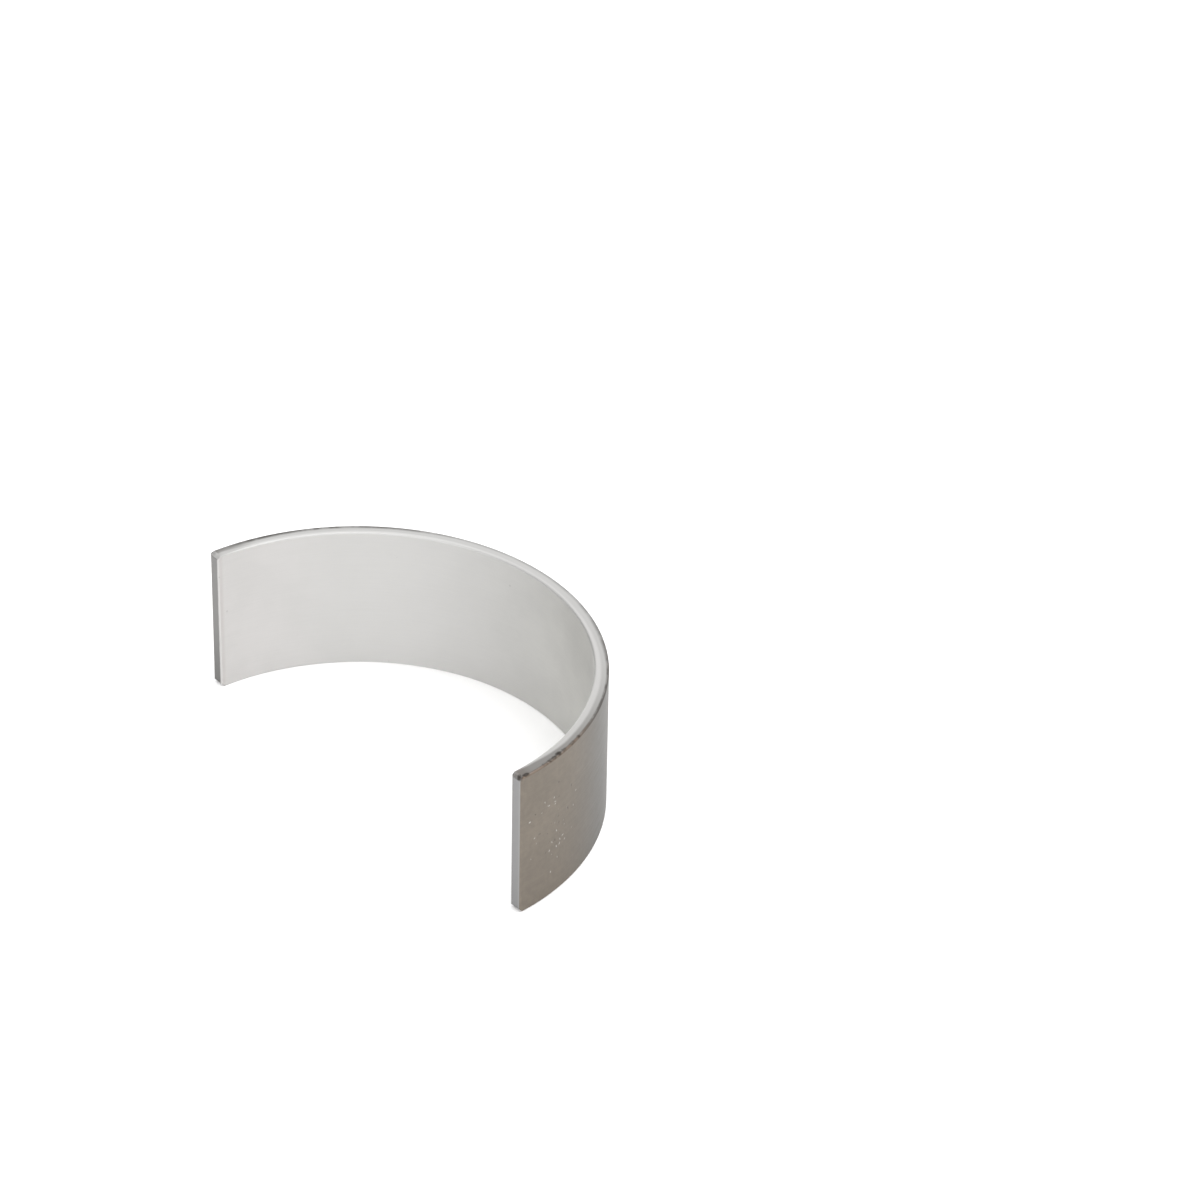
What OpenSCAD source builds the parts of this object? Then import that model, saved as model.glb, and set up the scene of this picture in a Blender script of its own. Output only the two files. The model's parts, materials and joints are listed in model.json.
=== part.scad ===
// Plain half bearing shell for a connecting rod, in its loose, unfitted state.
// A strip of lined steel is cut to length, broken along its edges and bent into a half ring.
// Z is the shaft axis and +Y points at the crown. The origin is on the axis, at half the width.

/* [Fit] */
// Diameter of the bored seat that the shell is pressed into
seat_d = 51; // [40:0.5:70]
// Wall of the shell, steel back and bearing lining together
wall = 1.5; // [1.2:0.1:2.5]
// Width of the shell along the shaft
width = 16.7; // [10:0.1:30]
// Arc of the loose shell, in degrees: its ends stand apart until it is pressed in
free_arc = 176; // [172:0.5:179]

/* [Side edges] */
// Chamfer between the bore and each side face
bore_chamfer = 0.1; // [0.05:0.05:0.5]
// Chamfer between the back and each side face
back_chamfer = 0.15; // [0.1:0.05:0.5]

/* [Parting faces] */
// Depth of the relief where the bore runs out to each parting face
relief_depth = 0.04; // [0.02:0.01:0.08]
// Length of that relief along the bore, from the parting face
relief_length = 6; // [3:0.5:10]
// Edge break along the bore edge of each parting face
bore_break = 0.1; // [0.05:0.05:0.3]
// Edge break along the back edge of each parting face
back_break = 0.1; // [0.05:0.05:0.3]
// Edge break where each parting face meets the side faces
side_break = 0.4; // [0.1:0.05:0.8]

/* [Hidden] */
$fn = 360;

// The strip is half the seat's circumference long, so over a shorter arc it bends to a larger radius.
back_r = seat_d / 2 * 180 / free_arc;
bore_r = back_r - wall;
mean_r = back_r - wall / 2;
half_width = width / 2;

// Each parting face stands this many degrees above the X axis.
end_angle = (180 - free_arc) / 2;

// The relief is bored by a smaller circle centred on the X axis. It leaves the bore at relief_angle
// and reaches relief_r on the X axis, which fixes its centre and its radius.
relief_angle = end_angle + relief_length / bore_r * 180 / PI;
relief_r = bore_r + relief_depth;
relief_centre = (pow(relief_r, 2) - pow(bore_r, 2)) / (2 * (relief_r - bore_r * cos(relief_angle)));
relief_cutter_r = relief_r - relief_centre;

// Cutters run past the faces by this much.
cut_over = 1;
cutter_h = width + 2 * cut_over;
cutter_w = wall + 2 * cut_over;

module strip_section() {
    polygon([
        [bore_r, bore_chamfer - half_width],
        [bore_r + bore_chamfer, -half_width],
        [back_r - back_chamfer, -half_width],
        [back_r, back_chamfer - half_width],
        [back_r, half_width - back_chamfer],
        [back_r - back_chamfer, half_width],
        [bore_r + bore_chamfer, half_width],
        [bore_r, half_width - bore_chamfer]
    ]);
}

module bent_strip() {
    rotate([0, 0, end_angle]) rotate_extrude(angle = free_arc) strip_section();
}

// A four-sided bar, which leaves a 45 degree break of the given size on the edge that it lies along.
module edge_bar(size, length) {
    cylinder(r = size, h = length, center = true, $fn = 4);
}

// What is cut away at the parting face on the +X side.
module parting_cuts() {
    translate([relief_centre, 0, 0]) cylinder(r = relief_cutter_r, h = cutter_h, center = true);
    rotate([0, 0, end_angle]) {
        translate([relief_r, 0, 0]) edge_bar(bore_break, cutter_h);
        translate([back_r, 0, 0]) edge_bar(back_break, cutter_h);
        for (side = [-1, 1])
            translate([mean_r, 0, side * half_width]) rotate([0, 90, 0]) edge_bar(side_break, cutter_w);
    }
}

module bearing_shell() {
    color([0.72, 0.71, 0.69]) difference() {
        bent_strip();
        parting_cuts();
        mirror([1, 0, 0]) parting_cuts();
    }
}

bearing_shell();
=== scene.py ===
# Engine bearing shell: the finished surface, its materials, the light and the camera.
import json
import math

import bmesh
import bpy
import numpy as np
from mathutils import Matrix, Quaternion, Vector


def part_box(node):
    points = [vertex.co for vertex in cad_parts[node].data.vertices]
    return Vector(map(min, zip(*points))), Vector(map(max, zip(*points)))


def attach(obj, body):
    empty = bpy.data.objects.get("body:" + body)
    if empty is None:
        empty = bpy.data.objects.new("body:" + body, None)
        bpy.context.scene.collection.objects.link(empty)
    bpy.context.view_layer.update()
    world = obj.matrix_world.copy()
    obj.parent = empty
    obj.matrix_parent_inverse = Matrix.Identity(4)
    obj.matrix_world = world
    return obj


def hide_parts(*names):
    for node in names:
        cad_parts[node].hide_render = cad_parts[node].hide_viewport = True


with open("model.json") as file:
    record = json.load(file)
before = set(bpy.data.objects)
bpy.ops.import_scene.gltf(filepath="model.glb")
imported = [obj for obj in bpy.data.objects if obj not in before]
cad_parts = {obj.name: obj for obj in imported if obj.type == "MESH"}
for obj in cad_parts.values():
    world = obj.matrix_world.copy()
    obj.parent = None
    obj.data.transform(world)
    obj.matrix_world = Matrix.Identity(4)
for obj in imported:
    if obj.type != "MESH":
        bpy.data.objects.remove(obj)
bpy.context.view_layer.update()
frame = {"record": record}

# Sizes from the frame, in metres. The arc starts at the near end, which is the one on the +X side.
MM = 0.001
NODE = "bearing_shell"
mounts = {mount["name"]: mount for mount in frame["record"]["mounts"]}
low_corner, high_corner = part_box(NODE)
half_width = high_corner.z
floor_z = low_corner.z
bore_r = mounts["journal"]["dims"]["r_mm"] * MM
back_r = mounts["seat"]["pos_m"][1]
wall = back_r - bore_r
end_angle = math.asin(mounts["parting_face_right"]["axis"][0])
arc_length = (math.pi - 2 * end_angle) * back_r

# Breaks on the edges of the strip and of its ends, and how far their corners are rounded
bore_chamfer = half_width - mounts["journal"]["dims"]["length_mm"] * MM / 2
back_chamfer = 0.15 * MM
bore_break = 0.1 * MM
back_break = 0.1 * MM
side_break = 0.4 * MM
bore_round = 0.12 * MM
back_round = 0.15 * MM
end_round = 0.05 * MM

# Relief of the bore at the parting faces
relief_depth = 0.04 * MM
relief_length = 6 * MM
relief_angle = end_angle + relief_length / bore_r
relief_r = bore_r + relief_depth
relief_centre = (relief_r**2 - bore_r**2) / (2 * (relief_r - bore_r * math.cos(relief_angle)))
relief_cutter_r = relief_r - relief_centre

# Loose scatter of small nicks on the back near one end: where its middle is along the arc and above half
# the width, and how far it spreads both ways
NICK_SEED = 7
NICKS = 46
NICK_MIDDLE = (5.0 * MM, 0.0)
NICK_SPREAD = (4.2 * MM, 6.0 * MM)
# Half width of a nick, its length in widths at most, its depth and the steepness of its sides
nick_narrowest = 0.08 * MM
nick_widest = 0.15 * MM
NICK_LONGEST = 2.4
nick_depth = 0.03 * MM
NICK_STEEPNESS = 1.3
# The faintest tone that a nick can have, and the share of dark ones
NICK_FAINTEST = 0.4
NICK_DARK_SHARE = 0.4

# Dark dabs along the outer edge of the upper side face, in millimetres: distance from the parting face, half
# length, distance in from the edge and reach across the wall, then the strength of each
GRIME_DABS = (
    (0.2, 0.22, 0.4, 0.32, 0.9), (0.1, 0.4, 0.6, 0.5, 0.45), (0.85, 0.45, 0.12, 0.26, 0.92),
    (3.6, 0.55, 0.05, 0.3, 0.5), (4.3, 0.4, 0.05, 0.26, 0.7), (4.95, 0.45, 0.05, 0.25, 0.76),
    (5.75, 0.5, 0.12, 0.28, 0.95), (6.6, 0.5, 0.05, 0.26, 0.58), (8.1, 0.5, 0.0, 0.24, 0.58),
    (9.4, 0.35, 0.0, 0.2, 0.68),
)
# Where a dab has faded away, in its own half length and reach
GRIME_FADED = 1.5

# Spacing of the mesh: fine under the nicks and dabs, wider elsewhere
fine_step = 0.07 * MM
plain_step = 0.9 * MM
marked_arc = 10 * MM
BORE_SPANS = 36
RIM_SPANS = 12
CHAMFER_SPANS = 2
CORNER_STEPS = 5
END_STEPS = 4
END_FACES = 2
# Points close to an edge hold the shading flat: their distance as a share of a span, and at the breaks
SUPPORT = 0.02
break_support = 0.002 * MM
# Points closer than this are one point
join_distance = 0.00005 * MM

# Sides of the section, in the order that its outline passes them, with the finish of each
LINING_FINISH, CUT_FINISH, BACK_FINISH = range(3)
SIDES = {
    "lower bore chamfer": LINING_FINISH, "lower side face": CUT_FINISH,
    "lower back chamfer": BACK_FINISH, "back": BACK_FINISH,
    "upper back chamfer": BACK_FINISH, "upper side face": CUT_FINISH,
    "upper bore chamfer": LINING_FINISH, "bore": LINING_FINISH,
}


def smooth_step(x):
    """Nought below 0, one above 1, and 3x^2 - 2x^3 between."""
    x = np.clip(x, 0, 1)
    return x * x * (3 - 2 * x)


def evenly(count):
    """Fractions along a side: evenly spaced, with one more close to each end to hold the shading flat."""
    inner = np.linspace(0, 1, count + 1)[1:-1]
    return np.concatenate([[SUPPORT / count], inner, [1 - SUPPORT / count]])


def crowded(count):
    """Fractions along a side that crowd to both ends: (1 - cos t) / 2 for t evenly spaced from 0 to pi."""
    return (1 - np.cos(np.linspace(0, math.pi, count + 1)[1:-1])) / 2


def strip_section():
    """The outline of the strip's cross-section, as radius and height, with every corner rounded.

    The eight corners are those of a bar with a chamfer at each corner. Round each of them an arc
    starts where it touches the side before, and a point on the arc is its centre plus the radius
    times an outward normal that turns evenly from that side's normal to the next side's. Points at
    given fractions of the straight side follow. Also returns the number of the side of each point.
    """
    h = half_width
    corners = np.array([
        (bore_r, bore_chamfer - h), (bore_r + bore_chamfer, -h),
        (back_r - back_chamfer, -h), (back_r, back_chamfer - h),
        (back_r, h - back_chamfer), (back_r - back_chamfer, h),
        (bore_r + bore_chamfer, h), (bore_r, h - bore_chamfer),
    ])
    rounding = np.array([bore_round] * 2 + [back_round] * 4 + [bore_round] * 2)[:, None]
    after = np.roll(corners, -1, axis=0) - corners
    after /= np.linalg.norm(after, axis=1, keepdims=True)
    before = np.roll(after, 1, axis=0)
    turn = np.arccos(np.sum(before * after, axis=1, keepdims=True))
    normal = np.stack([before[:, 1], -before[:, 0]], axis=1)
    centre = corners - rounding * np.tan(turn / 2) * before - rounding * normal
    angle = (turn * np.linspace(0, 1, CORNER_STEPS + 1))[..., None]
    outward = normal[:, None] * np.cos(angle) + before[:, None] * np.sin(angle)
    arcs = centre[:, None] + rounding[..., None] * outward
    shares = {
        "back": evenly(round(2 * h / fine_step)), "bore": crowded(BORE_SPANS),
        "lower side face": evenly(RIM_SPANS), "upper side face": evenly(RIM_SPANS),
    }
    pieces, sides = [], []
    for number, name in enumerate(SIDES):
        start, stop = arcs[number, -1], arcs[(number + 1) % len(SIDES), 0]
        share = shares.get(name, evenly(CHAMFER_SPANS))[:, None]
        pieces += [arcs[number], start + share * (stop - start)]
        sides += [np.full(CORNER_STEPS + 1 + len(share), number)]
    outline = np.concatenate(pieces)
    return outline[:, 0], outline[:, 1], np.concatenate(sides)


def ring_angles():
    """Angles of the rings along the arc: close at both ends, fine under the nicks and dabs, then wider."""
    turn = np.linspace(0, math.pi / 2, END_STEPS + 1)
    rounded = end_round * (1 - np.cos(turn))
    breaks = np.add.outer([back_break, bore_break], [-break_support, break_support]).ravel()
    end = np.unique(np.concatenate([rounded, breaks, [2 * bore_break, side_break]]))
    fine = np.arange(end[-1] + fine_step, marked_arc, fine_step)
    plain = np.arange(marked_arc, arc_length - end[-1] - plain_step / 2, plain_step)
    along = np.concatenate([end, fine, plain, (arc_length - end)[::-1]])
    return end_angle + along / back_r


def wall_limits(angle, margin):
    """Bore radius, back radius and half width of the strip at each angle, drawn in by a margin.

    Close to a parting face the bore follows the relief circle, whose distance from the axis at an
    angle a is c cos a + sqrt(q^2 - c^2 sin^2 a) for its centre c and radius q. All edges of the face
    are broken at 45 degrees, and its whole rim turns in along a quarter circle.
    """
    to_end = np.minimum(angle - end_angle, math.pi - end_angle - angle)
    off_axis = to_end + end_angle
    reach = np.clip(to_end * back_r, 0, None)
    relief = relief_centre * np.cos(off_axis)
    relief += np.sqrt(relief_cutter_r**2 - (relief_centre * np.sin(off_axis)) ** 2)
    bore = np.maximum.reduce([np.full_like(angle, bore_r), relief, relief_r + bore_break - reach])
    back = np.minimum(back_r, back_r - back_break + reach)
    half = np.minimum(half_width, half_width - side_break + reach)
    into = np.clip(1 - reach / end_round, 0, 1)
    inset = end_round * (1 - np.sqrt(1 - into**2)) + margin
    return bore + inset, back - inset, half - inset


def nick_marks(arc, height):
    """Depth and tone of the nicks at each point, as shares of the full depth and of bright or dark.

    Every nick is a small oval pit at a seeded place, and more of them lie towards the middle of the
    scatter. Its depth is a smooth step of 1 - d times its steepness, where d is the distance from its
    middle in the oval's own half length and half width. Its tone is that depth times a seeded
    brightness, which is below nought for the dark ones.
    """
    draw = np.random.default_rng(NICK_SEED)
    places = np.array(NICK_MIDDLE) + np.array(NICK_SPREAD) * draw.triangular(-1, 0, 1, (NICKS, 2))
    half_wide = draw.uniform(nick_narrowest, nick_widest, NICKS)
    half_long = half_wide * draw.uniform(1, NICK_LONGEST, NICKS)
    turn = draw.uniform(0, math.pi, NICKS)
    brightness = draw.uniform(NICK_FAINTEST, 1, NICKS)
    brightness[draw.random(NICKS) < NICK_DARK_SHARE] *= -1
    off_arc, off_height = arc[..., None] - places[:, 0], height[..., None] - places[:, 1]
    along = (off_arc * np.cos(turn) + off_height * np.sin(turn)) / half_long
    across = (off_height * np.cos(turn) - off_arc * np.sin(turn)) / half_wide
    pits = smooth_step(NICK_STEEPNESS * (1 - np.hypot(along, across)))
    return pits.max(axis=-1), np.clip((brightness * pits).sum(axis=-1), -1, 1)


def grime_amounts(arc, radius, below_top):
    """How much grime lies at each point.

    Each dab is an oval along the outer edge. Its amount is its strength times a smooth step of the
    distance at which it has faded away less d, where d is the distance from its middle in the oval's
    own half length and reach. Where dabs meet, the stronger one holds.
    """
    places, lengths, insets, reaches, strengths = np.array(GRIME_DABS).T
    along = (arc[..., None] / MM - places) / lengths
    inward = (back_r - back_chamfer - radius)[..., None] / MM - insets
    across = np.hypot(inward, below_top[..., None] / MM) / reaches
    return (strengths * smooth_step(GRIME_FADED - np.hypot(along, across))).max(axis=-1)


def shell_surface():
    """Points, faces, finishes, nick tones and grime of the shell's closed surface.

    The strip's section is carried round the bore axis. At each ring its points are held within the
    wall's limits there, so the relief and the edges of the parting faces come out of one rule. The
    rows of points join as four-sided faces, and one flat face closes each end.
    """
    radius, height, side = strip_section()
    angles = ring_angles()
    angles = np.concatenate([angles[:1], angles, angles[-1:]])
    margin = np.zeros_like(angles)
    margin[[0, -1]] = end_round
    bore, back, half = (limit[:, None] for limit in wall_limits(angles, margin))
    r = np.clip(radius, bore, back)
    z = np.clip(height, -half, half)
    arc = np.broadcast_to(((angles - end_angle) * back_r)[:, None], r.shape)
    on_back = side == list(SIDES).index("back")
    depth, tone = (np.where(on_back, mark, 0.0) for mark in nick_marks(arc, z))
    grime = grime_amounts(arc, r, half - z)
    grime[[0, -1]] = 0
    r = r - nick_depth * depth
    points = np.stack([r * np.cos(angles)[:, None], r * np.sin(angles)[:, None], z], axis=-1)
    rings, count = r.shape
    number = np.arange(rings * count).reshape(rings, count)
    ahead = np.roll(number, -1, axis=1)
    quads = np.stack([number[:-1], number[1:], ahead[1:], ahead[:-1]], axis=-1)
    finish = np.broadcast_to(np.array(list(SIDES.values()))[side], (rings - 1, count)).copy()
    finish[[0, -1]] = CUT_FINISH
    faces = quads.reshape(-1, 4).tolist() + [number[0].tolist(), number[-1][::-1].tolist()]
    finishes = np.concatenate([finish.ravel(), [CUT_FINISH] * END_FACES])
    return points.reshape(-1, 3), faces, finishes, tone.ravel(), grime.ravel()


# Sockets of a Mix node that mixes colours
MIX_FACTOR, MIX_FIRST, MIX_SECOND, MIX_RESULT = 0, 6, 7, 2


def add_node(tree, kind, inputs=None, **settings):
    """A node with its settings, and each input given a value or a link from another node's output."""
    made = tree.nodes.new(kind)
    for name, value in settings.items():
        setattr(made, name, value)
    for name, value in (inputs or {}).items():
        if isinstance(value, bpy.types.NodeSocket):
            tree.links.new(value, made.inputs[name])
        else:
            made.inputs[name].default_value = value
    return made


def math_node(tree, operation, *values):
    """The output of one Math node."""
    return add_node(tree, "ShaderNodeMath", dict(enumerate(values)), operation=operation).outputs[0]


def remap(tree, value, low, high, to_low=0.0, to_high=1.0):
    """A value moved from one range to another, smoothly and without leaving it."""
    inputs = {"Value": value, "From Min": low, "From Max": high, "To Min": to_low, "To Max": to_high}
    return add_node(tree, "ShaderNodeMapRange", inputs, interpolation_type="SMOOTHSTEP").outputs["Result"]


def two_ramps(tree, operation, value, first, second):
    """Two ramps of the same value, added or multiplied."""
    return math_node(tree, operation, remap(tree, value, *first), remap(tree, value, *second))


def mix_colour(tree, factor, first, second):
    """Two colours mixed by a factor."""
    inputs = {MIX_FACTOR: factor, MIX_FIRST: first, MIX_SECOND: second}
    return add_node(tree, "ShaderNodeMix", inputs, data_type="RGBA").outputs[MIX_RESULT]


def noise(tree, vector, scale, detail=3.0, roughness=0.55):
    """The value of a noise texture on the given coordinates."""
    inputs = {"Vector": vector, "Scale": scale, "Detail": detail, "Roughness": roughness}
    return add_node(tree, "ShaderNodeTexNoise", inputs).outputs["Fac"]


# Sizes in millimetres, for the materials
ARC_MM, WALL_MM, HALF_MM = (size / MM for size in (arc_length, wall, half_width))
LINING_MM = 0.6

# Colours of the lining in the bore
LINING_PALE = (0.578, 0.572, 0.561, 1)
# Lining by the near end: its own yellower tone, lightened by painted light
LINING_NEAR_TONE_AND_LIGHT = (0.7, 0.696, 0.667, 1)
LINING_FAR = (0.636, 0.622, 0.614, 1)
LINING_FAR_END = (0.588, 0.564, 0.555, 1)
LINING_SHADE = (0.552, 0.548, 0.535, 1)
# Painted highlight on the lining's edges, and the darker edge tone where it fades
LINING_EDGE_HIGHLIGHT = (0.661, 0.657, 0.648, 1)
LINING_EDGE_DARKER = (0.504, 0.5, 0.487, 1)
LINING_SPECK = (0.261, 0.252, 0.243, 1)
LINING_SMEARED = (0.187, 0.185, 0.183, 1)
# Colours of the cut through lining and steel, and of the two parting faces
LINING_CUT = (0.674, 0.668, 0.657, 1)
# Cut lining darkened towards the ends: painted shade by the near end
LINING_CUT_DARKENED = (0.435, 0.426, 0.416, 1)
STEEL_CUT = (0.6, 0.596, 0.587, 1)
STEEL_CUT_SHADE = (0.548, 0.542, 0.532, 1)
# Steel darkened towards the ends: painted shade by the near end
STEEL_DARKENED = (0.257, 0.249, 0.238, 1)
NEAR_FACE = (0.232, 0.230, 0.230, 1)
NEAR_FACE_BY_BACK = (0.265, 0.262, 0.259, 1)
FAR_FACE = (0.188, 0.185, 0.180, 1)
# Lower part of the far parting face: painted shade
FAR_FACE_SHADED = (0.150, 0.147, 0.143, 1)
# Colours of the back, its edges and what lies on it
# These edge tones also serve as painted shade on the chamfers and bevels
STEEL_EDGE = (0.104, 0.098, 0.091, 1)
STEEL_EDGE_BROWN = (0.126, 0.094, 0.074, 1)
STEEL_BACK = (0.205, 0.179, 0.149, 1)
# Greyer back beyond the near end: partly its own grey, partly painted reflection
STEEL_BACK_GREY_AND_REFLECTION = (0.151, 0.148, 0.141, 1)
STEEL_BACK_DARK = (0.13, 0.117, 0.102, 1)
STEEL_GRAZING = (0.85, 0.85, 0.85, 1)
NICK_BRIGHT = (0.41, 0.394, 0.37, 1)
NICK_DARK = (0.104, 0.096, 0.087, 1)
GRIME = (0.039, 0.033, 0.028, 1)

# Ramps from here on give where each one starts and ends, and its values there if they aren't nought and one.
# Noise of the stains, specks, grime and mottling: its scale per millimetre, and ramps of its value
STAIN_SCALE = 0.16
STAIN_RAMP = (0.35, 0.68)
SPECK_SCALE = 0.75
SPECK_PATCH_SCALE = 0.6
SPECK_SIZE = (0.52, 0.75, 0.0, 0.14)
SPECK_BORDER = (0.0, 0.05)
GRIME_SCALE = 3.0
GRIME_ROUGHNESS = 0.6
GRIME_RAMP = (0.15, 1.1)
MOTTLE_SCALE = 1.3
MOTTLE_DETAIL = 5.0
MOTTLE_ROUGHNESS = 0.65
MOTTLE_RAMP = (0.35, 0.65, 0.0, 0.25)

# Drawn lines: the two sizes of their noise, how each finish stretches it along the arc, up and out, and the
# roughness and the depth in metres that they give the finish
LINE_SCALES = (1.0, 3.7)
LINE_RANGE = (0.3, 0.7)
LINING_STRETCH = (0.12, 5.0, 5.0)
LINING_ROUGHNESS = (0.58, 0.62)
LINING_RELIEF = 0.0005 * MM
CUT_STRETCH = (0.25, 1.2, 9.0)
CUT_ROUGHNESS = (0.35, 0.42)
CUT_RELIEF = 0.001 * MM
BACK_STRETCH = (0.10, 4.0, 4.0)
BACK_ROUGHNESS = (0.40, 0.46)
BACK_RELIEF = 0.0005 * MM

# Lining: its tones along the arc, partly painted light by the near end, the painted highlight on its edges
# and the smear at the near end, in millimetres
LINING_TO_PALE = (30.0, 56.0)
LINING_TO_FAR = (ARC_MM - 16.0, ARC_MM - 4.0)
FAR_END_STARTS = (ARC_MM - 0.75, ARC_MM - 0.35)
FAR_END_FADES = (ARC_MM - 0.2, ARC_MM, 1.0, 0.2)
HIGHLIGHT_STARTS = (18.0, 40.0)
HIGHLIGHT_FADES = (ARC_MM - 4.0, ARC_MM + 1.0, 1.0, 0.0)
LINING_EDGE_RAMP = (HALF_MM - 0.2, HALF_MM - 0.06)
SMEAR_START = 0.15
SMEAR_ENDS = (0.4, 3.0)
LINING_SHADING = 0.25
LINING_SPECKING = 0.25
# The boring lines spread the gloss across them
LINING_ANISOTROPY = 0.9
LINING_GLOSS_TURN = 0.25

# Cut edge: how it darkens towards both ends, painted shade by the near end, and what stays bright on the
# bevels there
NEAR_SHADE_RAMPS = ((2.0, 24.0, 0.6, 0.0), (8.0, 46.0, 0.4, 0.0))
FAR_DARKENING_RAMPS = ((ARC_MM - 5.5, ARC_MM - 1.5, 0.0, 0.65), (ARC_MM - 1.0, ARC_MM - 0.1, 0.0, 0.35))
BEVEL_REACH = (0.35, 0.5, 1.0, 0.0)
BEVEL_HEIGHT = (HALF_MM - 0.42, HALF_MM - 0.34)
BEVEL_BRIGHT = (1.0, 2.0, 0.35, 0.8)
NEAR_BEVEL_DARKENING = (0.8, 2.2, 0.35, 0.0)
# Parting faces: how far each reaches along the arc, where the near one turns lighter by the back, and where
# painted shade darkens the far one towards the bottom
NEAR_FACE_REACH = (0.1, 0.4)
FAR_FACE_REACH = (ARC_MM - 0.4, ARC_MM - 0.1)
NEAR_FACE_BY_BACK_RAMP = (1.0, 1.3)
FAR_FACE_SHADE_RAMP = (-7.0, 0.0)
# Cut lining: how wide its band is along the arc, how it wavers and blends into the steel, and where it
# darkens, as painted shade by the near end and beside the bore
NEAR_BAND = (0.0, 8.2, 0.05, LINING_MM)
MIDDLE_BAND = ((18.0, 36.0, LINING_MM, LINING_MM - 0.3), (ARC_MM - 4.0, ARC_MM - 1.0, 0.0, 0.25))
FAR_BAND = (ARC_MM - 0.6, ARC_MM - 0.1, LINING_MM, 0.28)
WAVER_SCALE = 0.9
WAVER = 0.12
BAND_BLEND = (HALF_MM - 0.42, HALF_MM - 0.1, 0.06, 0.35)
LINING_NEAR_SHADE = 0.65
LINING_FAR_DARKENING = 0.8
SHADE_BY_BORE_DEPTH = (0.1, 0.45, 0.6, 0.0)
SHADE_BY_BORE_ARC = (38.0, 52.0, 1.0, 0.0)

# Dark outer edge, partly a dirty edge and partly painted shade: where it turns from brown to grey, where it
# starts and ends across the wall, how that shifts along the arc, and where it fades or is broken up
EDGE_TO_GREY = (8.0, 14.0)
EDGE_START = (20.0, 28.0, WALL_MM - 0.36, WALL_MM - 0.62)
EDGE_END = WALL_MM - 0.16
EDGE_SHIFT = ((52.0, 58.0, 0.0, 0.14), (68.0, 76.0, 0.0, 0.08))
EDGE_FAINT_ARC = 43.0
EDGE_FAINT = (3.0, 26.0, 0.5, 1.0)
EDGE_FAR = (ARC_MM - 5.0, ARC_MM - 0.5, 1.0, 0.4)
EDGE_HEIGHT = (HALF_MM - 0.5, HALF_MM - 0.1)
EDGE_BROKEN_SCALE = 0.8
EDGE_BROKEN = (0.3, 0.6, 0.55, 0.95)

# Back: where it turns from brown to a grey that is partly painted reflection, how stained and lined it is,
# and the painted shade on its chamfers
BACK_TO_GREY = (6.0, 17.0)
BACK_STAINING = 0.25
BACK_LINES = 0.12
CHAMFER_SHADE_HEIGHT = (HALF_MM - 0.23, HALF_MM - 0.1)
CHAMFER_SHADE_ARC = (18.0, 30.0, 0.65, 1.0)
BRIGHT_NICKS = (0.0, 1.0)
DARK_NICKS = (-1.0, 0.0, 1.0, 0.0)


def new_group(name, inputs, outputs):
    """An empty shader group with its sockets, and its input and output nodes."""
    group = bpy.data.node_groups.new(name, "ShaderNodeTree")
    for way, sockets in (("INPUT", inputs), ("OUTPUT", outputs)):
        for label, kind in sockets.items():
            group.interface.new_socket(label, in_out=way, socket_type=f"NodeSocket{kind}")
    return group, group.nodes.new("NodeGroupInput").outputs, group.nodes.new("NodeGroupOutput").inputs


def strip_coordinates():
    """Group: a point's place on the strip laid flat, in millimetres.

    Arc is the distance along the back from the near end, Height that above half the width, Depth that
    out from the bore, and Off middle is the height without its sign. Strip holds the first three.
    """
    group, given, out = new_group("Strip coordinates", {"Position": "Vector"}, {
        "Strip": "Vector", "Arc": "Float", "Height": "Float", "Depth": "Float", "Off middle": "Float"})
    axes = add_node(group, "ShaderNodeSeparateXYZ", {0: given["Position"]}).outputs
    squares = [math_node(group, "POWER", axes[name], 2.0) for name in "XY"]
    radius = math_node(group, "SQRT", math_node(group, "ADD", *squares))
    angle = math_node(group, "ARCTAN2", axes["Y"], axes["X"])
    from_end = math_node(group, "SUBTRACT", angle, end_angle)
    from_bore = math_node(group, "SUBTRACT", radius, bore_r)
    places = {
        "Arc": math_node(group, "MULTIPLY", from_end, back_r / MM),
        "Height": math_node(group, "DIVIDE", axes["Z"], MM),
        "Depth": math_node(group, "DIVIDE", from_bore, MM),
    }
    strip = add_node(group, "ShaderNodeCombineXYZ", dict(enumerate(places.values()))).outputs[0]
    off_middle = math_node(group, "ABSOLUTE", places["Height"])
    for name, value in {**places, "Strip": strip, "Off middle": off_middle}.items():
        group.links.new(value, out[name])
    return group


def drawn_lines():
    """Group: fine lines that all run one way, as rolling or boring leaves them: the mean of two noises."""
    group, given, out = new_group("Drawn lines", {"Strip": "Vector", "Stretch": "Vector"}, {"Lines": "Float"})
    drawn = add_node(group, "ShaderNodeVectorMath", {0: given["Strip"], 1: given["Stretch"]},
                     operation="MULTIPLY").outputs[0]
    lines = math_node(group, "ADD", *(noise(group, drawn, scale) for scale in LINE_SCALES))
    group.links.new(math_node(group, "MULTIPLY", lines, 1 / len(LINE_SCALES)), out["Lines"])
    return group


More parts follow.
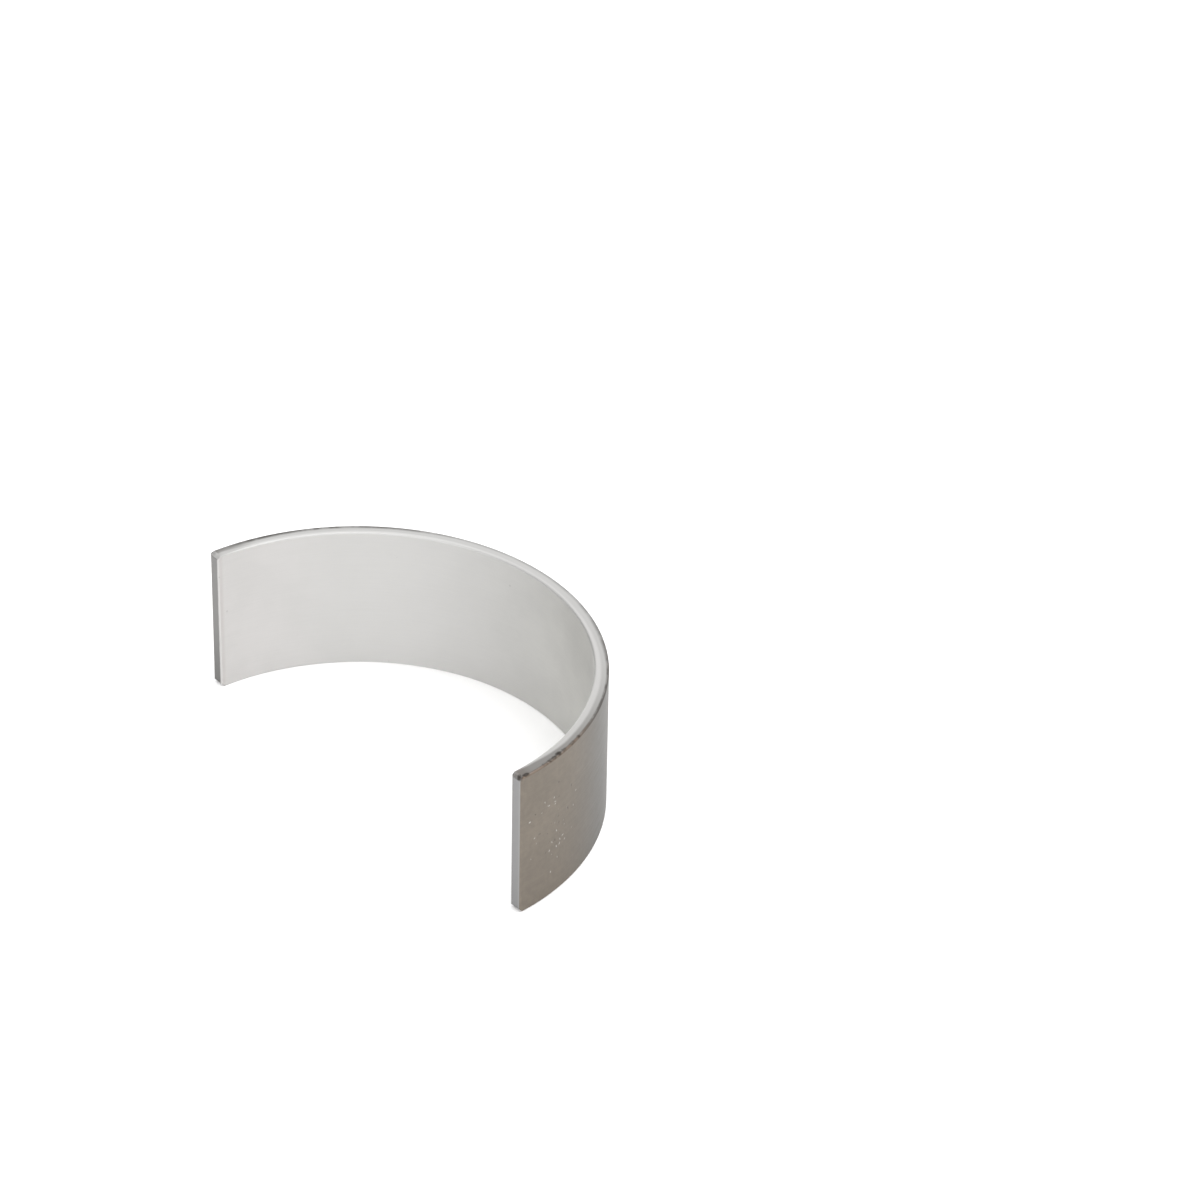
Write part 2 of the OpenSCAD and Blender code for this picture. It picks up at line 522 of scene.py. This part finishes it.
def handled_stains():
    """Group: broad soft stains and small dark specks, as oil and handling leave on bare metal."""
    outputs = {"Stain": "Float", "Specks": "Float"}
    group, given, out = new_group("Handled stains", {"Strip": "Vector"}, outputs)
    broad = noise(group, given["Strip"], STAIN_SCALE, detail=4.0)
    group.links.new(remap(group, broad, *STAIN_RAMP), out["Stain"])
    dots = add_node(group, "ShaderNodeTexVoronoi", {"Vector": given["Strip"], "Scale": SPECK_SCALE})
    patches = noise(group, given["Strip"], SPECK_PATCH_SCALE, detail=1.0)
    inside = math_node(group, "SUBTRACT", remap(group, patches, *SPECK_SIZE), dots.outputs["Distance"])
    group.links.new(remap(group, inside, *SPECK_BORDER), out["Specks"])
    return group


def ragged_grime():
    """Group: grime with ragged borders, from its amount and fine noise."""
    group, given, out = new_group("Ragged grime", {"Strip": "Vector", "Amount": "Float"}, {"Grime": "Float"})
    fine = noise(group, given["Strip"], GRIME_SCALE, roughness=GRIME_ROUGHNESS)
    ragged = math_node(group, "SUBTRACT", fine, 0.5)
    level = math_node(group, "ADD", given["Amount"], ragged)
    group.links.new(remap(group, level, *GRIME_RAMP), out["Grime"])
    return group


def outer_edge():
    """Group: the dark tone of the outer edge, brownish by the near end and greyer beyond, also used for
    painted shade.
    """
    group, given, out = new_group("Outer edge", {"Arc": "Float"}, {"Tone": "Color"})
    beyond = remap(group, given["Arc"], *EDGE_TO_GREY)
    group.links.new(mix_colour(group, beyond, STEEL_EDGE_BROWN, STEEL_EDGE), out["Tone"])
    return group


GROUPS = {
    "coordinates": strip_coordinates(),
    "lines": drawn_lines(),
    "stains": handled_stains(),
    "grime": ragged_grime(),
    "edge": outer_edge(),
}


def use_group(tree, name, inputs):
    """The outputs of a shared group placed in a material."""
    return add_node(tree, "ShaderNodeGroup", inputs, node_tree=GROUPS[name]).outputs


def start_material(name):
    """A metal with only its surface shader, and the strip coordinates that its patterns follow."""
    material = bpy.data.materials.new(name)
    material.use_nodes = True
    tree = material.node_tree
    shader = tree.nodes["Principled BSDF"]
    shader.inputs["Metallic"].default_value = 1.0
    position = add_node(tree, "ShaderNodeTexCoord").outputs["Object"]
    return material, tree, shader, use_group(tree, "coordinates", {"Position": position})


def end_material(tree, shader, colour, lines, roughness, relief):
    """Gives the shader its colour, and the roughness and fine relief that follow the drawn lines."""
    tree.links.new(colour, shader.inputs["Base Color"])
    tree.links.new(remap(tree, lines, *LINE_RANGE, *roughness), shader.inputs["Roughness"])
    bump = add_node(tree, "ShaderNodeBump", {"Height": lines, "Distance": relief, "Strength": 1.0})
    tree.links.new(bump.outputs["Normal"], shader.inputs["Normal"])


def point_value(tree, name):
    """A value that the mesh holds at its points."""
    return add_node(tree, "ShaderNodeAttribute", attribute_name=name).outputs["Fac"]


def grimy(tree, place, colour):
    """A colour with the grime of the outer edge over it."""
    inputs = {"Strip": place["Strip"], "Amount": point_value(tree, "grime")}
    return mix_colour(tree, use_group(tree, "grime", inputs)["Grime"], colour, GRIME)


def lining_tone(tree, place):
    """The lining's tone along the arc, lighter and yellower by the near end, the lighter part painted light,
    with a band of another tone by the far end.
    """
    colour = mix_colour(tree, remap(tree, place["Arc"], *LINING_TO_PALE), LINING_NEAR_TONE_AND_LIGHT, LINING_PALE)
    colour = mix_colour(tree, remap(tree, place["Arc"], *LINING_TO_FAR), colour, LINING_FAR)
    far_end = two_ramps(tree, "MULTIPLY", place["Arc"], FAR_END_STARTS, FAR_END_FADES)
    return mix_colour(tree, far_end, colour, LINING_FAR_END)


def lining_material():
    """Pale satin lining with a painted highlight along its edges, and faint boring lines that spread its
    gloss up and down.
    """
    material, tree, shader, place = start_material("bearing_lining")
    shader.inputs["Anisotropic"].default_value = LINING_ANISOTROPY
    shader.inputs["Anisotropic Rotation"].default_value = LINING_GLOSS_TURN
    lines = use_group(tree, "lines", {"Strip": place["Strip"], "Stretch": LINING_STRETCH})["Lines"]
    stains = use_group(tree, "stains", {"Strip": place["Strip"]})
    shade = math_node(tree, "MULTIPLY", math_node(tree, "ADD", lines, stains["Stain"]), LINING_SHADING)
    specks = math_node(tree, "MULTIPLY", stains["Specks"], LINING_SPECKING)
    colour = mix_colour(tree, shade, lining_tone(tree, place), LINING_SHADE)
    colour = mix_colour(tree, specks, colour, LINING_SPECK)
    # Painted highlight on the edges round the crown
    edge_highlight = two_ramps(tree, "MULTIPLY", place["Arc"], HIGHLIGHT_STARTS, HIGHLIGHT_FADES)
    edge = mix_colour(tree, edge_highlight, LINING_EDGE_DARKER, LINING_EDGE_HIGHLIGHT)
    colour = mix_colour(tree, remap(tree, place["Off middle"], *LINING_EDGE_RAMP), colour, edge)
    smear_end = remap(tree, place["Off middle"], *LINING_EDGE_RAMP, *SMEAR_ENDS)
    colour = mix_colour(tree, remap(tree, place["Arc"], SMEAR_START, smear_end), LINING_SMEARED, colour)
    end_material(tree, shader, colour, lines, LINING_ROUGHNESS, LINING_RELIEF)
    return material


def cut_steel(tree, place, lines, near_shade, far_darkening):
    """The tone of the cut steel: bright round the crown, and darker towards the ends but for their bevels,
    with painted shade by the near end.
    """
    from_end = math_node(tree, "MINIMUM", place["Arc"], math_node(tree, "SUBTRACT", ARC_MM, place["Arc"]))
    on_bevel = math_node(tree, "MULTIPLY", remap(tree, from_end, *BEVEL_REACH),
                         remap(tree, place["Off middle"], *BEVEL_HEIGHT))
    bright = math_node(tree, "MULTIPLY", on_bevel, remap(tree, place["Arc"], *BEVEL_BRIGHT))
    end_darkening = math_node(tree, "MULTIPLY", math_node(tree, "MAXIMUM", near_shade, far_darkening),
                     math_node(tree, "SUBTRACT", 1.0, bright))
    near_face = mix_colour(tree, remap(tree, place["Depth"], *NEAR_FACE_BY_BACK_RAMP), NEAR_FACE, NEAR_FACE_BY_BACK)
    # The far parting face darker towards the bottom: painted shade
    far_face = mix_colour(tree, remap(tree, place["Height"], *FAR_FACE_SHADE_RAMP), FAR_FACE_SHADED, FAR_FACE)
    darkened_steel = mix_colour(tree, remap(tree, place["Arc"], *NEAR_FACE_REACH), near_face, STEEL_DARKENED)
    darkened_steel = mix_colour(tree, remap(tree, place["Arc"], *FAR_FACE_REACH), darkened_steel, far_face)
    return mix_colour(tree, end_darkening, mix_colour(tree, lines, STEEL_CUT, STEEL_CUT_SHADE), darkened_steel)


def cut_lining(tree, place, near_shade, far_darkening):
    """The tone of the cut lining: pale round the crown, and darker towards the ends and beside the bore, as
    painted shade by the near end and beside the bore.
    """
    near = math_node(tree, "MULTIPLY", math_node(tree, "SQRT", near_shade), LINING_NEAR_SHADE)
    far = math_node(tree, "MULTIPLY", far_darkening, LINING_FAR_DARKENING)
    # Painted shade beside the bore, short of the crown
    shade_by_bore = math_node(tree, "MULTIPLY", remap(tree, place["Depth"], *SHADE_BY_BORE_DEPTH),
                        remap(tree, place["Arc"], *SHADE_BY_BORE_ARC))
    lining_darkening = math_node(tree, "MAXIMUM", math_node(tree, "MAXIMUM", near, far), shade_by_bore)
    return mix_colour(tree, lining_darkening, LINING_CUT, LINING_CUT_DARKENED)


def past_lining(tree, place):
    """Nought on the lining's band and one past it, over a wavering joint."""
    near = remap(tree, place["Arc"], *NEAR_BAND)
    middle = two_ramps(tree, "ADD", place["Arc"], *MIDDLE_BAND)
    far = remap(tree, place["Arc"], *FAR_BAND)
    band = math_node(tree, "MINIMUM", near, math_node(tree, "MINIMUM", middle, far))
    waver = math_node(tree, "MULTIPLY", noise(tree, place["Strip"], WAVER_SCALE), WAVER)
    past = math_node(tree, "ADD", math_node(tree, "SUBTRACT", place["Depth"], band), waver)
    return remap(tree, past, 0.0, remap(tree, place["Off middle"], *BAND_BLEND))


def dark_edge(tree, place):
    """How much of the dark outer edge shows on the side faces, where it doesn't fade or break up; it is
    partly a dirty edge and partly painted shade.
    """
    shift = two_ramps(tree, "ADD", place["Arc"], *EDGE_SHIFT)
    outwards = math_node(tree, "ADD", place["Depth"], shift)
    edge = remap(tree, outwards, remap(tree, place["Arc"], *EDGE_START), EDGE_END)
    from_faint = math_node(tree, "ABSOLUTE", math_node(tree, "SUBTRACT", place["Arc"], EDGE_FAINT_ARC))
    kept = math_node(tree, "MULTIPLY", remap(tree, from_faint, *EDGE_FAINT),
                     remap(tree, place["Arc"], *EDGE_FAR))
    kept = math_node(tree, "MULTIPLY", kept, remap(tree, place["Off middle"], *EDGE_HEIGHT))
    broken = remap(tree, noise(tree, place["Strip"], EDGE_BROKEN_SCALE), *EDGE_BROKEN)
    return math_node(tree, "MULTIPLY", edge, math_node(tree, "MULTIPLY", kept, broken))


def cut_edge_material():
    """Bare cut through the strip: pale lining by the bore, then steel, and a dark edge by the back, partly
    painted shade.
    """
    material, tree, shader, place = start_material("cut_edge")
    lines = use_group(tree, "lines", {"Strip": place["Strip"], "Stretch": CUT_STRETCH})["Lines"]
    # Darkening towards the near end: painted shade
    near_shade = two_ramps(tree, "ADD", place["Arc"], *NEAR_SHADE_RAMPS)
    far_darkening = two_ramps(tree, "ADD", place["Arc"], *FAR_DARKENING_RAMPS)
    lining = cut_lining(tree, place, near_shade, far_darkening)
    steel = cut_steel(tree, place, lines, near_shade, far_darkening)
    colour = mix_colour(tree, past_lining(tree, place), lining, steel)
    edge_tone = use_group(tree, "edge", {"Arc": place["Arc"]})["Tone"]
    # Darker on the bevels by the near end
    bevel_darkening = math_node(tree, "MULTIPLY", remap(tree, place["Arc"], *NEAR_BEVEL_DARKENING),
                     remap(tree, place["Off middle"], *BEVEL_HEIGHT))
    colour = mix_colour(tree, bevel_darkening, colour, edge_tone)
    # Dark outer edge: partly dirt, partly painted shade
    colour = mix_colour(tree, dark_edge(tree, place), colour, edge_tone)
    end_material(tree, shader, grimy(tree, place, colour), lines, CUT_ROUGHNESS, CUT_RELIEF)
    return material


def steel_back_material():
    """Dull rolled steel: brownish by the near end and greyer beyond, the grey partly painted reflection, with
    lines along it and painted shade on its edges.
    """
    material, tree, shader, place = start_material("steel_back")
    shader.inputs["Specular Tint"].default_value = STEEL_GRAZING
    lines = use_group(tree, "lines", {"Strip": place["Strip"], "Stretch": BACK_STRETCH})["Lines"]
    stain = use_group(tree, "stains", {"Strip": place["Strip"]})["Stain"]
    blotches = noise(tree, place["Strip"], MOTTLE_SCALE, MOTTLE_DETAIL, MOTTLE_ROUGHNESS)
    # Brown by the near end, greyer beyond: the grey partly painted reflection
    tone = mix_colour(tree, remap(tree, place["Arc"], *BACK_TO_GREY), STEEL_BACK, STEEL_BACK_GREY_AND_REFLECTION)
    stained = math_node(tree, "MULTIPLY", stain, BACK_STAINING)
    lined = math_node(tree, "MULTIPLY", lines, BACK_LINES)
    for darker in (stained, lined, remap(tree, blotches, *MOTTLE_RAMP)):
        tone = mix_colour(tree, darker, tone, STEEL_BACK_DARK)
    # Painted shade on both chamfers of the back
    chamfer = math_node(tree, "MULTIPLY", remap(tree, place["Off middle"], *CHAMFER_SHADE_HEIGHT),
                        remap(tree, place["Arc"], *CHAMFER_SHADE_ARC))
    tone = mix_colour(tree, chamfer, tone, use_group(tree, "edge", {"Arc": place["Arc"]})["Tone"])
    nicks = point_value(tree, "nicks")
    tone = mix_colour(tree, remap(tree, nicks, *BRIGHT_NICKS), tone, NICK_BRIGHT)
    tone = mix_colour(tree, remap(tree, nicks, *DARK_NICKS), tone, NICK_DARK)
    end_material(tree, shader, grimy(tree, place, tone), lines, BACK_ROUGHNESS, BACK_RELIEF)
    return material


def join_doubles(mesh):
    """Joins the points that lie on one another, where the edges of an end cut the section's corners off."""
    joined = bmesh.new()
    joined.from_mesh(mesh)
    bmesh.ops.remove_doubles(joined, verts=joined.verts, dist=join_distance)
    joined.to_mesh(mesh)
    joined.free()


def build_shell():
    """The dressed shell, in place of the plain solid."""
    points, faces, finishes, nicks, grime = shell_surface()
    mesh = bpy.data.meshes.new("lined_shell")
    mesh.from_pydata(points, [], faces)
    mesh.polygons.foreach_set("use_smooth", np.arange(len(faces)) < len(faces) - END_FACES)
    mesh.polygons.foreach_set("material_index", finishes.astype(np.int32))
    for name, values in {"nicks": nicks, "grime": grime}.items():
        mesh.attributes.new(name, "FLOAT", "POINT").data.foreach_set("value", values.astype(np.float32))
    for material in (lining_material(), cut_edge_material(), steel_back_material()):
        mesh.materials.append(material)
    join_doubles(mesh)
    piece = bpy.data.objects.new("lined_shell", mesh)
    bpy.context.scene.collection.objects.link(piece)
    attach(piece, "root")
    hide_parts(NODE)


FLOOR_SIZE = 6.0
FLOOR_COLOUR = (0.94, 0.94, 0.94, 1)
FLOOR_ROUGHNESS = 0.9
FLOOR_GLOSS = 0.1


def build_floor():
    """A plain pale floor under the shell."""
    half = FLOOR_SIZE / 2
    corners = [(-half, -half, floor_z), (half, -half, floor_z), (half, half, floor_z), (-half, half, floor_z)]
    mesh = bpy.data.meshes.new("floor")
    mesh.from_pydata(corners, [], [(0, 1, 2, 3)])
    material = bpy.data.materials.new("pale_floor")
    material.use_nodes = True
    shader = material.node_tree.nodes["Principled BSDF"]
    shader.inputs["Base Color"].default_value = FLOOR_COLOUR
    shader.inputs["Roughness"].default_value = FLOOR_ROUGHNESS
    shader.inputs["Specular IOR Level"].default_value = FLOOR_GLOSS
    mesh.materials.append(material)
    floor = bpy.data.objects.new("floor", mesh)
    bpy.context.scene.collection.objects.link(floor)


# The surround darkens from overhead to the horizon, and one side of it glows
ZENITH_STRENGTH = 1.092
HORIZON_STRENGTH = 0.575
SKY_RAMP = (0.0, 0.65)
GLOW_STRENGTH = 1.058
GLOW_SIDE = (0.97, -0.24, 0.0)
GLOW_RAMP = (-0.4, 0.6)
# The soft box overhead: where it stands, how wide it is and how strong, aimed at the shell
BOX_PLACE = (0.05, 0.40, 0.75)
BOX_SIZE = 0.7
BOX_POWER = 2.3


def build_light():
    """A pale surround that darkens towards the horizon and glows on one side, and a large soft box."""
    world = bpy.data.worlds.new("pale_surround")
    world.use_nodes = True
    tree = world.node_tree
    direction = add_node(tree, "ShaderNodeTexCoord").outputs["Generated"]
    up = add_node(tree, "ShaderNodeSeparateXYZ", {0: direction}).outputs["Z"]
    side = add_node(tree, "ShaderNodeVectorMath", {0: direction, 1: GLOW_SIDE}, operation="DOT_PRODUCT")
    glow = remap(tree, side.outputs["Value"], *GLOW_RAMP, 0.0, GLOW_STRENGTH)
    sky = remap(tree, up, *SKY_RAMP, HORIZON_STRENGTH, ZENITH_STRENGTH)
    background = tree.nodes["Background"]
    background.inputs["Color"].default_value = (1, 1, 1, 1)
    tree.links.new(math_node(tree, "ADD", glow, sky), background.inputs["Strength"])
    bpy.context.scene.world = world
    light = bpy.data.lights.new("overhead", "AREA")
    light.size = BOX_SIZE
    light.energy = BOX_POWER
    lamp = bpy.data.objects.new("overhead", light)
    lamp.location = BOX_PLACE
    lamp.rotation_euler = (-Vector(BOX_PLACE)).to_track_quat("-Z", "Y").to_euler()
    bpy.context.scene.collection.objects.link(lamp)
    bpy.context.scene.view_settings.view_transform = "Standard"


# The camera, as fitted to the photograph: angles in degrees, distance in back radii, and in pixels the
# focal length and the place where the bore axis meets the floor
IMAGE_SIZE = 1200
SENSOR_MM = 36
CAMERA = {"azimuth": 52.99, "elevation": 36.194, "roll": -0.763}
CAMERA_DISTANCE = 19.8703
CAMERA_CLIP = 0.01
FOCAL_PX = 4977.97
AXIS_FOOT_PX = (355.29, 796.78)


def build_camera():
    """A camera at the photograph's viewing angle, turned so that the axis's foot lands on its own pixel."""
    azimuth, elevation, roll = (math.radians(angle) for angle in CAMERA.values())
    back = Vector((math.sin(azimuth) * math.cos(elevation), -math.cos(azimuth) * math.cos(elevation),
                   math.sin(elevation)))
    centre = IMAGE_SIZE / 2
    sight = Vector(((AXIS_FOOT_PX[0] - centre) / FOCAL_PX, (centre - AXIS_FOOT_PX[1]) / FOCAL_PX, -1))
    data = bpy.data.cameras.new("camera")
    data.sensor_width = SENSOR_MM
    data.lens = FOCAL_PX / IMAGE_SIZE * SENSOR_MM
    data.clip_start = CAMERA_CLIP
    camera = bpy.data.objects.new("camera", data)
    camera.location = back * CAMERA_DISTANCE * back_r + Vector((0, 0, floor_z))
    camera.rotation_mode = "QUATERNION"
    level = (-back).to_track_quat("-Z", "Y")
    turn = sight.rotation_difference(Vector((0, 0, -1)))
    camera.rotation_quaternion = level @ Quaternion((0, 0, 1), roll) @ turn
    bpy.context.scene.collection.objects.link(camera)
    bpy.context.scene.camera = camera


build_camera()
build_shell()
build_floor()
build_light()
